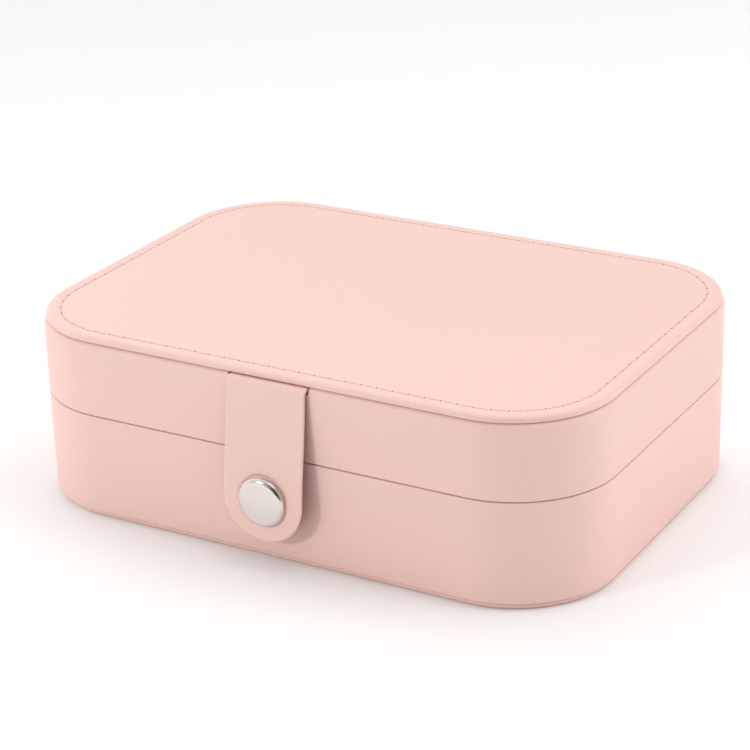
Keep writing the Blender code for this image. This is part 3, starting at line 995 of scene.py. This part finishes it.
class CASE_OT_strap(bpy.types.Operator):
    """Model the leather strap that folds over the front edge"""

    bl_idname = "case.strap"
    bl_label = "Strap"

    def execute(self, context):
        thickness = context.scene.case_sizes.strap
        root_low, root_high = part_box("strap_root")
        low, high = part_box("strap_leather")
        half = high.x
        fold = 1.0 * MM
        level = root_low.z + 0.55 * MM
        turn = Vector((0, -HALF_DEPTH + 0.2 * MM, level - fold))
        flat = root_high.y - turn.y
        bend = fold * math.pi / 2
        snap = snap_axis()
        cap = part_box("snap_cap")[1].x
        near = fold - turn.y
        far = -(low.y + thickness / 2)
        straight_from = 17 * MM
        little = 0.01 * MM
        end_centre = low.z + half
        length = flat + bend + turn.z - end_centre
        piece = tongue("strap_hide", half, length, thickness, 0.30 * MM)
        back = [face.index for face in piece.data.polygons if face.center.y > -0.2 * thickness]

        def stand(z):
            """Depth of the strap's middle: it leans out nearly straight, down to the snap."""
            share = min(max((turn.z - z) / (turn.z - straight_from), 0.0), 1.0)
            return near + (far - near) * (share + ease(share)) / 2

        def bent(point):
            """The flat strap laid along its path, from under the panel and down the front."""
            along = -point.z
            off = rolled(point, tongue_margin(point, half, length), thickness)
            if along <= flat:
                return Vector((point.x, root_high.y - along, level - off))
            if along <= flat + bend:
                angle = (along - flat) / fold
                radius = fold - off
                way = Vector((0, -math.sin(angle), math.cos(angle)))
                return turn + Vector((point.x, 0, 0)) + radius * way
            z = turn.z - (along - flat - bend)
            slope = (stand(z - little) - stand(z + little)) / (2 * little)
            steep = math.hypot(1, slope)
            ring = math.hypot(point.x, z - snap.z)
            if off < 0:
                off += 0.35 * MM * bell(ring - cap - 0.1 * MM, 0.25 * MM)
            return Vector((point.x, -stand(z) + off / steep, z + off * slope / steep))

        reshape(piece, bent)
        in_leather(piece)
        # The edges and back take the dark backing, partly its own colour and partly painted shade
        # under the strap.
        piece.data.materials.append(finish("strap_suede_and_shade"))
        for face in back:
            piece.data.polygons[face].material_index = 1
        mend(piece)
        smooth(piece, 60)
        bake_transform(piece)
        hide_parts("strap_root", "strap_leather", "strap_backing")
        return {"FINISHED"}


def dome(radius, height, rim, drop, under, rings, sweep):
    """Section of a cap: a shallow dome with a rolled rim, down to below the leather."""
    across, tall = rim
    flat = radius - across
    top = [(flat * i / rings, height - drop * (i / rings) ** 2) for i in range(rings)]
    edge = arc((flat, height - drop - tall), rim, *sweep)
    return top + edge + [(flat, -under), (0, -under)]


class CASE_OT_snap(bpy.types.Operator):
    """Turn the snap's cap and socket on the strap and its stud on the base"""

    bl_idname = "case.snap"
    bl_label = "Snap"

    def execute(self, context):
        self.cap()
        self.socket()
        self.stud()
        in_metal(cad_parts["snap_post"])
        return {"FINISHED"}

    def cap(self):
        """A shallow dome with a rolled rim that bites into the leather."""
        low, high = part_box("snap_cap")
        rim, drop, under = (1.5 * MM, 1.05 * MM), 0.16 * MM, 0.25 * MM
        section = dome(high.x, high.y - low.y, rim, drop, under, 10, (87, -18, 20))
        centre = (0, high.y, snap_axis().z)
        piece = turned("snap_cap_dome", section, centre, (0, -1, 0), 64)
        complete(piece, in_metal, "strap", "snap_cap", angle=50)

    def socket(self):
        low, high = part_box("snap_socket")
        radius = high.x
        deep = high.y - low.y
        edge = 0.3 * MM
        section = (
            [(0, 0), (radius - edge, 0)]
            + arc((radius - edge, edge), edge, -90, 90, 6)[1:]
            + [(3.9 * MM, 2.2 * edge), (3.5 * MM, deep - 0.35 * MM)]
            + arc((3.15 * MM, deep - 0.35 * MM), 0.35 * MM, 0, 180, 8)[1:]
            + [(2.55 * MM, deep - 0.9 * MM), (2.5 * MM, 0.5 * MM), (0, 0.5 * MM)]
        )
        piece = turned("snap_socket_ring", section, (0, low.y, snap_axis().z), (0, 1, 0), 48)
        complete(piece, in_metal, "strap", "snap_socket", angle=40)

    def stud(self):
        low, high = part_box("snap_stud")
        radius = high.x
        tall = high.y - low.y
        edge = 0.25 * MM
        section = (
            [(0, 0), (radius - edge, 0)]
            + arc((radius - edge, edge), edge, -90, 90, 6)[1:]
            + arc((2.1 * MM, 0.5 * MM + 0.5 * MM), 0.5 * MM, 270, 180, 5)
            + [(1.62 * MM, tall - 1.0 * MM)]
            + arc((1.45 * MM, tall - 0.48 * MM), (0.45 * MM, 0.48 * MM), -30, 90, 8)
            + [(0.8 * MM, tall), (0.5 * MM, tall - 0.2 * MM), (0, tall - 0.25 * MM)]
        )
        piece = turned("snap_stud_post", section, (0, high.y, snap_axis().z), (0, -1, 0), 48)
        complete(piece, in_metal, "base", "snap_stud", angle=40)


# --------------------------------------------------------------------------------------------------
# Linings


class CASE_OT_linings(bpy.types.Operator):
    """Model the velvet linings, the lined lid panel and the floor pad"""

    bl_idname = "case.linings"
    bl_label = "Linings"

    def execute(self, context):
        self.wall("base_wall_lining", "base", True)
        self.wall("lid_wall_lining", "lid", False)
        self.lid_panel()
        self.floor_pad()
        return {"FINISHED"}

    def wall(self, node, body, upright):
        """Velvet inside the wall, turned out over the rim to meet the leather."""
        low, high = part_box(node)
        lip = HALF_DEPTH - high.y
        outer, inner = lip + 2.5 * MM, lip + 3.3 * MM
        foot, rim, way = (low.z, high.z, 1) if upright else (high.z, low.z, -1)
        turn = 0.5 * MM
        curve = arc((inner - turn, rim - way * turn), (turn, way * turn), 0, 90, 6)
        section = (
            [(outer, foot), (inner, foot)]
            + curve
            + [(lip + 0.1 * MM, rim), (lip, rim - way * 0.1 * MM), (lip, rim - way * turn)]
            + [(outer, rim - way * turn)]
        )
        piece = run_round(f"{node}_velvet", closed(section))
        complete(piece, in_velvet, body, node)

    def lid_panel(self):
        low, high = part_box("lid_lining_panel")
        inset = HALF_DEPTH - high.y
        edge = 0.35 * MM
        section = (
            [(12 * MM, high.z), (inset, high.z)]
            + arc((inset + edge, low.z + edge), edge, 180, 270, 5)
            + [(12 * MM, low.z)]
        )
        piece = run_round("lid_lining_velvet", section)
        close_middle(piece, low.z, high.z)
        complete(piece, in_velvet, "lid", "lid_lining_panel")

    def floor_pad(self):
        """A thin pad, full in the middle and rounded down at its edge."""
        low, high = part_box("base_floor_pad")
        inset = HALF_DEPTH - high.y
        edge = 0.9 * MM
        rise = [2 * MM * i for i in range(1, 9)]
        section = (
            [(12 * MM, low.z), (inset + 0.2 * MM, low.z)]
            + arc((inset + edge, high.z - edge), edge, 180, 90, 8)
            + [(inset + edge + r, high.z + 0.12 * MM * ease(r / (10 * MM))) for r in rise]
        )
        piece = run_round("floor_pad_velvet", section)
        close_middle(piece, low.z, section[-1][1])
        complete(piece, in_velvet, "base", "base_floor_pad")


# --------------------------------------------------------------------------------------------------
# Padded fittings


def padded_bar(name, low, high, rounding, draft=0.25 * MM):
    """A bar between two corners with rounded edges, a little smaller than its space."""
    nothing_selected()
    low, high = Vector(low), Vector(high)
    bpy.ops.mesh.primitive_cube_add(size=1, location=(low + high) / 2)
    piece = named(name)
    piece.scale = [size - 2 * draft for size in high - low]
    settle()
    edit_all()
    bpy.ops.mesh.bevel(offset=rounding, segments=4, affect="EDGES", profile=0.5)
    nothing_selected()
    return piece


def puff(piece, most, voxel=0.55 * MM, pressure=4.0, scale=16.0):
    """Fills a bar with air as cloth, no point moving further than most, and smooths the result."""
    centre = sum((Vector(c) for c in piece.bound_box), Vector()) / 8
    grow = Matrix.Scale(scale, 4) @ Matrix.Translation(-centre)
    piece.data.transform(grow)
    apply(piece, "REMESH", mode="VOXEL", voxel_size=voxel * scale, use_smooth_shade=True)
    rest = [v.co.copy() for v in piece.data.vertices]
    only(piece)
    bpy.context.scene.frame_set(1)
    cloth = piece.modifiers.new("Cloth", "CLOTH")
    cloth.settings.quality = 5
    cloth.settings.use_pressure = True
    cloth.settings.uniform_pressure_force = pressure
    cloth.settings.effector_weights.gravity = 0.0
    cloth.settings.tension_stiffness = 6
    cloth.settings.compression_stiffness = 6
    cloth.settings.bending_stiffness = 0.3
    cloth.point_cache.frame_start, cloth.point_cache.frame_end = 1, 20
    for number in range(1, 21):
        bpy.context.scene.frame_set(number)
    bpy.ops.object.modifier_apply(modifier=cloth.name)
    bpy.context.scene.frame_set(1)
    for vertex, start in zip(piece.data.vertices, rest):
        step = vertex.co - start
        if step.length > most * scale:
            vertex.co = start + step.normalized() * most * scale
    apply(piece, "SUBSURF", levels=1, render_levels=1)
    piece.data.transform(grow.inverted())
    piece.data.update()


def seam_pressed(piece, at, width, depth):
    """Pulls a seam in round a padded bar that lies along X."""
    low = [min(v.co[i] for v in piece.data.vertices) for i in range(3)]
    high = [max(v.co[i] for v in piece.data.vertices) for i in range(3)]
    middle = [(a + b) / 2 for a, b in zip(low, high)]

    def pulled(point):
        share = depth * bell(point.x - at, width)
        for axis in (1, 2):
            half = (high[axis] - low[axis]) / 2
            point[axis] -= share * (point[axis] - middle[axis]) / half
        return point

    reshape(piece, pulled)


class CASE_OT_dividers(bpy.types.Operator):
    """Model the velvet-covered dividers, two fixed and two that slide"""

    bl_idname = "case.dividers"
    bl_label = "Dividers"

    def execute(self, context):
        for side in SIDES:
            for kind, body in (("fixed", "base"), ("sliding", f"sliding_divider_{side}")):
                node = f"{kind}_divider_{side}"
                piece = padded_bar(f"{node}_velvet", *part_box(node), 0.85 * MM)
                puff(piece, 0.22 * MM)
                complete(piece, in_velvet, body, node, angle=60)
        return {"FINISHED"}


class CASE_OT_ring_rolls(bpy.types.Operator):
    """Model one padded ring roll and lay its copies side by side"""

    bl_idname = "case.ring_rolls"
    bl_label = "Ring Rolls"

    def execute(self, context):
        low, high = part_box("ring_roll_1")
        middle = (low.y + high.y) / 2
        model = self.one(low, high, middle)
        for number in ROLLS:
            node = f"ring_roll_{number}"
            near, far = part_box(node)
            piece = model.copy()
            piece.data = model.data.copy()
            piece.name = piece.data.name = f"{node}_velvet"
            piece.data.transform(Matrix.Translation((0, (near.y + far.y) / 2 - middle, 0)))
            bpy.context.scene.collection.objects.link(piece)
            in_velvet(piece)
            place(piece, "base", node)
        bpy.data.objects.remove(model)
        return {"FINISHED"}

    def one(self, low, high, middle):
        draft = 0.3 * MM
        radius = (high.y - low.y) / 2 - draft
        crown = high.z - draft - radius
        foot = low.z + 0.05 * MM
        left = low.x + draft
        near = middle - radius
        piece = draw_line("ring_roll_model", [(left, near, foot), (left, near, crown)])
        choose(piece, "VERT", lambda p: p.z > crown - MM)
        spin((left, middle, crown), (-1, 0, 0), 180, 16)
        pull((0, 0, foot - crown))
        bpy.ops.mesh.select_all(action="SELECT")
        bpy.ops.mesh.remove_doubles(threshold=WELD)
        bpy.ops.mesh.edge_face_add()
        bpy.ops.mesh.select_all(action="SELECT")
        pull((high.x - low.x - 2 * draft, 0, 0))
        close_up()
        choose(piece, "FACE", lambda p: abs(abs(p.x) - (high.x - draft)) < 1e-5)
        bpy.ops.mesh.bevel(offset=1.1 * MM, segments=3, affect="EDGES")
        close_up()
        nothing_selected()
        puff(piece, 0.28 * MM)
        for side in SIDES.values():
            seam_pressed(piece, side * (high.x - 2.6 * MM), 0.5 * MM, 0.16 * MM)
        smooth(piece, 60)
        return piece


# --------------------------------------------------------------------------------------------------
# Fittings in the lid


class CASE_OT_pocket(bpy.types.Operator):
    """Model the gathered pocket in the lid and its elastic"""

    bl_idname = "case.pocket"
    bl_label = "Lid Pocket"

    def execute(self, context):
        sizes = context.scene.case_sizes
        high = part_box("lid_pocket")[1]
        band_low, band_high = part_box("pocket_elastic")
        half, mouth, back = high.x - 0.4 * MM, band_high.y, high.y
        ceiling = high.z - 0.1 * MM
        drop = ceiling - band_high.z + 0.5 * MM

        def hang(x, y):
            """Height of the cloth without folds, sewn at the sides and back."""
            side = ease((half - abs(x)) / (9 * MM)) ** 0.8
            depth = max(0.0, min(1.0, (back - y) / (back - mouth)))
            return ceiling - drop * side * math.sin(depth * math.pi / 2) ** 0.75

        def fold(x, y):
            """The gathers: tight at the elastic and fading towards the back, no two alike."""
            phase = (x / (2 * half)) * sizes.gathers * 2 * math.pi
            wander = 1.3 * math.sin(x * 90 + 1.1) + 0.8 * math.sin(x * 211 + y * 60)
            near = bell(y - mouth, 15 * MM)
            size = (0.14 + 0.40 * near) * (1 + 0.3 * math.sin(x * 147 + 2.0))
            sewn = ease((half - abs(x)) / (3 * MM)) * ease((back - y) / (4 * MM))
            return -size * MM * sewn * (0.6 + math.cos(phase + wander))

        nothing_selected()
        bpy.ops.mesh.primitive_grid_add(
            x_subdivisions=324, y_subdivisions=44, size=1, location=(0, (mouth + back) / 2, 0)
        )
        piece = named("pocket_cloth")
        piece.scale = (2 * half, back - mouth, 1)
        settle()
        piece.data.uv_layers[0].name = "cloth"
        gather = 1.25
        for loop in piece.data.uv_layers["cloth"].data:
            loop.uv = (loop.uv.x * 2 * half * gather, loop.uv.y * (back - mouth))

        def hung(point):
            return Vector((point.x, point.y, hang(point.x, point.y) + fold(point.x, point.y)))

        reshape(piece, hung)
        apply(piece, "SOLIDIFY", thickness=0.3 * MM, offset=0)
        complete(piece, in_fabric, "lid", "lid_pocket", angle=80)
        hem = self.elastic(half, mouth, band_low.y, hang, fold)
        return {"FINISHED"}

    def flat_size(self, piece, half, gather):
        area = sum(p.area for p in piece.data.polygons) / 2
        width = 2 * half * gather
        return width, area / width

    def elastic(self, half, mouth, front, hang, fold):
        """A narrow tube of the same cloth with elastic in it, gathered more tightly."""
        radius, cuts = 0.8 * MM, 260
        middle = (mouth + front) / 2
        nothing_selected()
        bpy.ops.mesh.primitive_cylinder_add(
            vertices=12, radius=radius, depth=2 * half, rotation=(0, math.pi / 2, 0),
            location=(0, middle, 0),
        )
        piece = named("pocket_elastic_hem")
        settle()
        edit_all()
        cut_across([(-half + 2 * half * i / cuts, 0, 0) for i in range(1, cuts)], (1, 0, 0))
        nothing_selected()

        def gathered(point):
            ruffle = fold(point.x, mouth) * 0.8
            wander = 2 * math.sin(point.x * 130)
            swell = 1 + 0.18 * math.cos(point.x * 2 * math.pi / (1.35 * MM) + wander)
            return Vector((
                point.x,
                middle + (point.y - middle) * swell,
                hang(point.x, mouth) + ruffle + point.z * swell,
            ))

        piece.data.uv_layers[0].name = "cloth"
        for corner in piece.data.loops:
            point = piece.data.vertices[corner.vertex_index].co
            around = math.atan2(point.z, point.y - middle) * radius
            piece.data.uv_layers["cloth"].data[corner.index].uv = (point.x * 1.6, around)
        reshape(piece, gathered)
        complete(piece, in_fabric, "lid", "pocket_elastic", angle=60)
        return piece


class CASE_OT_necklace_tabs(bpy.types.Operator):
    """Model the necklace strip, its three tabs and their snaps"""

    bl_idname = "case.necklace_tabs"
    bl_label = "Necklace Tabs"

    def execute(self, context):
        self.strip()
        for tab in TABS:
            self.tab(tab)
        return {"FINISHED"}

    def strip(self):
        low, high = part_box("necklace_tab_strip")
        piece = padded_bar("necklace_strip_leather", low, high, 0.35 * MM, 0.02 * MM)
        complete(piece, in_leather, "lid", "necklace_tab_strip")
        pitch = 3.2 * MM
        middle = (low.y + high.y) / 2
        turned_down = Matrix.Rotation(math.pi, 4, "X")
        spots = straight_row(high.x - 2 * MM, pitch, middle, low.z + 0.03 * MM, turned_down)
        sew("necklace_strip_stitches", spots, "lid", STITCH_SHARE * pitch)

    def tab(self, label):
        body = f"necklace_tab_{label}"
        low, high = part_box(body)
        middle = (low.x + high.x) / 2
        half, thickness = (high.x - low.x) / 2, high.z - low.z
        length = high.y - low.y - half
        piece = tongue(f"{body}_leather", half, length, thickness, 0.6 * MM)

        def laid(point):
            off = rolled(point, tongue_margin(point, half, length), thickness)
            return Vector((middle + point.x, low.y - point.z, (low.z + high.z) / 2 + off))

        reshape(piece, laid)
        mend(piece)
        complete(piece, in_leather, body, body, angle=60)
        self.snap(label)
        self.stud(label)

    def snap(self, label):
        node = f"necklace_snap_{label}"
        low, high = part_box(node)
        middle = (low + high) / 2
        radius, tall = (high.x - low.x) / 2, high.z - low.z
        rim, drop, under = (0.42 * MM, 0.42 * MM), 0.2 * MM, 0.2 * MM
        section = dome(radius, tall, rim, drop, under, 6, (80, -30, 9))
        centre = (middle.x, middle.y, high.z)
        piece = turned(f"{node}_dome", section, centre, (0, 0, -1), 40)
        complete(piece, in_metal, f"necklace_tab_{label}", node, angle=50)

    def stud(self, label):
        node = f"necklace_stud_{label}"
        low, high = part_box(node)
        middle = (low + high) / 2
        radius, tall = (high.x - low.x) / 2, high.z - low.z
        section = (
            [(0, 0), (radius, 0), (radius, 0.1 * MM), (radius - 0.15 * MM, 0.2 * MM)]
            + [(1.1 * MM, 0.2 * MM), (0.75 * MM, 0.4 * MM), (0.72 * MM, tall - 0.6 * MM)]
            + arc((0.72 * MM, tall - 0.3 * MM), (0.28 * MM, 0.3 * MM), -60, 90, 6)
            + [(0, tall)]
        )
        piece = turned(f"{node}_post", section, (middle.x, middle.y, high.z), (0, 0, -1), 32)
        complete(piece, in_metal, "lid", node, angle=40)


class CASE_OT_boards(bpy.types.Operator):
    """Finish the boards and the foam that the leather and the velvet hide"""

    bl_idname = "case.boards"
    bl_label = "Boards and Foam"

    def execute(self, context):
        for node in ("base_bottom_board", "base_wall_board", "lid_wall_board", "lid_top_board"):
            dress(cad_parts[node], finish("grey_board"))
        dress(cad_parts["lid_top_padding"], finish("foam"))
        return {"FINISHED"}


# --------------------------------------------------------------------------------------------------
# Stage


def lamp(name, at, aim, size, power):
    bpy.ops.object.light_add(type="AREA", location=at)
    made = bpy.context.object
    made.name = name
    made.data.shape = "DISK"
    made.data.size = size
    made.data.energy = power
    way = Vector(aim) - Vector(at)
    made.rotation_euler = way.to_track_quat("-Z", "Y").to_euler()


class CASE_OT_stage(bpy.types.Operator):
    """Set the floor, the soft studio lights and the camera"""

    bl_idname = "case.stage"
    bl_label = "Stage"

    def execute(self, context):
        self.floor(context)
        self.lights(context)
        self.camera(context)
        return {"FINISHED"}

    def floor(self, context):
        """A wide floor that curves up into a wall far behind."""
        nothing_selected()
        bpy.ops.mesh.primitive_plane_add(size=6)
        floor = named("studio_floor")
        bpy.ops.object.mode_set(mode="EDIT")
        choose(floor, "EDGE", lambda p: p.y > 2)
        for step in range(1, 9):
            turn = math.radians(90 * step / 8)
            before = math.radians(90 * (step - 1) / 8)
            pull((0, math.sin(turn) - math.sin(before), math.cos(before) - math.cos(turn)))
        pull((0, 0, 2))
        nothing_selected()
        smooth(floor, 60)
        floor.data.materials.append(finish("studio_floor"))

    def lights(self, context):
        world = bpy.data.worlds.new("studio")
        context.scene.world = world
        world.use_nodes = True
        tree = world.node_tree
        sky = tree.nodes["Background"]
        sky.inputs["Color"].default_value = (1, 1, 1, 1)
        way = tree.nodes.new("ShaderNodeTexCoord").outputs["Generated"]
        dim_side = self.towards(tree, way, (0.55, -0.83, 0))
        glow = math_node(tree, "SUBTRACT", 0.92, math_node(tree, "MULTIPLY", dim_side, 0.80))
        flag = add(tree, "ShaderNodeMapRange", {"From Min": 0.935, "From Max": 0.970, "To Min": 1.0,
                                                "To Max": 0.05},
                   Value=self.towards(tree, way, (0.36, -0.85, 0.26)))
        tree.links.new(math_node(tree, "MULTIPLY", glow, flag.outputs[0]), sky.inputs["Strength"])
        lamp("key", (0.35, 0.05, 1.0), (0, 0, 0.02), 0.6, 1.5)
        lamp("right_side", (1.0, 0.30, 0.40), (0, 0, 0.02), 0.6, 2.95)
        lamp("front_left", (-0.32, -0.62, 0.26), (-0.02, 0, 0.02), 0.10, 1.15)

    def towards(self, tree, way, aim):
        """How much a direction points towards aim, as the cosine of the angle between them."""
        dot = add(tree, "ShaderNodeVectorMath", {"operation": "DOT_PRODUCT"}, Vector=way)
        dot.inputs[1].default_value = Vector(aim).normalized()
        return dot.outputs["Value"]

    def camera(self, context):
        """Stands to the right of the front, a little above, with a slight roll."""
        azimuth, elevation, roll = (math.radians(a) for a in (29.885, 23.268, -1.524))
        distance = 0.6288
        level = math.cos(elevation)
        back = Vector((math.sin(azimuth) * level, -math.cos(azimuth) * level, math.sin(elevation)))
        right = Vector((math.cos(azimuth), math.sin(azimuth), 0))
        up = back.cross(right)
        turned_right = math.cos(roll) * right + math.sin(roll) * up
        turned_up = math.cos(roll) * up - math.sin(roll) * right
        middle = Vector((0, 0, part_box("lid_top_panel")[1].z / 2))
        place_of = middle + back * distance
        aim = middle - 0.00295 * turned_right + 0.00252 * turned_up
        away = (place_of - aim).normalized()
        across = turned_up.cross(away).normalized()
        upright = away.cross(across)
        bpy.ops.object.camera_add(location=place_of)
        camera = bpy.context.object
        camera.name = "camera"
        camera.data.lens = 114.65
        camera.data.sensor_width = 36
        camera.data.clip_start, camera.data.clip_end = 0.01, 20
        camera.rotation_mode = "QUATERNION"
        camera.rotation_quaternion = Matrix((across, upright, away)).transposed().to_quaternion()
        context.scene.camera = camera
        context.scene.view_settings.view_transform = "Standard"


# --------------------------------------------------------------------------------------------------
# Panel and registration


STEPS = (
    CASE_OT_stage,
    CASE_OT_walls,
    CASE_OT_top,
    CASE_OT_hinge,
    CASE_OT_strap,
    CASE_OT_snap,
    CASE_OT_linings,
    CASE_OT_dividers,
    CASE_OT_ring_rolls,
    CASE_OT_pocket,
    CASE_OT_necklace_tabs,
    CASE_OT_boards,
)


class CASE_PT_panel(bpy.types.Panel):
    """Lists the case's sizes, colours and steps"""

    bl_idname = "CASE_PT_panel"
    bl_label = "Jewellery Case"
    bl_space_type = "VIEW_3D"
    bl_region_type = "UI"
    bl_category = "Jewellery Case"

    def draw(self, context):
        for settings in (context.scene.case_sizes, context.scene.case_colours):
            box = self.layout.box()
            for name in settings.__annotations__:
                box.prop(settings, name)
        column = self.layout.column()
        for step in STEPS:
            column.operator(step.bl_idname)


CLASSES = (CaseSizes, CaseColours, *STEPS, CASE_PT_panel)


def register():
    for made in CLASSES:
        bpy.utils.register_class(made)
    bpy.types.Scene.case_sizes = bpy.props.PointerProperty(type=CaseSizes)
    bpy.types.Scene.case_colours = bpy.props.PointerProperty(type=CaseColours)


def unregister():
    del bpy.types.Scene.case_colours
    del bpy.types.Scene.case_sizes
    for made in reversed(CLASSES):
        bpy.utils.unregister_class(made)


def main():
    register()
    bpy.ops.case.stage()
    bpy.ops.case.walls()
    bpy.ops.case.top()
    bpy.ops.case.hinge()
    bpy.ops.case.strap()
    bpy.ops.case.snap()
    bpy.ops.case.linings()
    bpy.ops.case.dividers()
    bpy.ops.case.ring_rolls()
    bpy.ops.case.pocket()
    bpy.ops.case.necklace_tabs()
    bpy.ops.case.boards()
    nothing_selected()


if __name__ == "__main__":
    main()
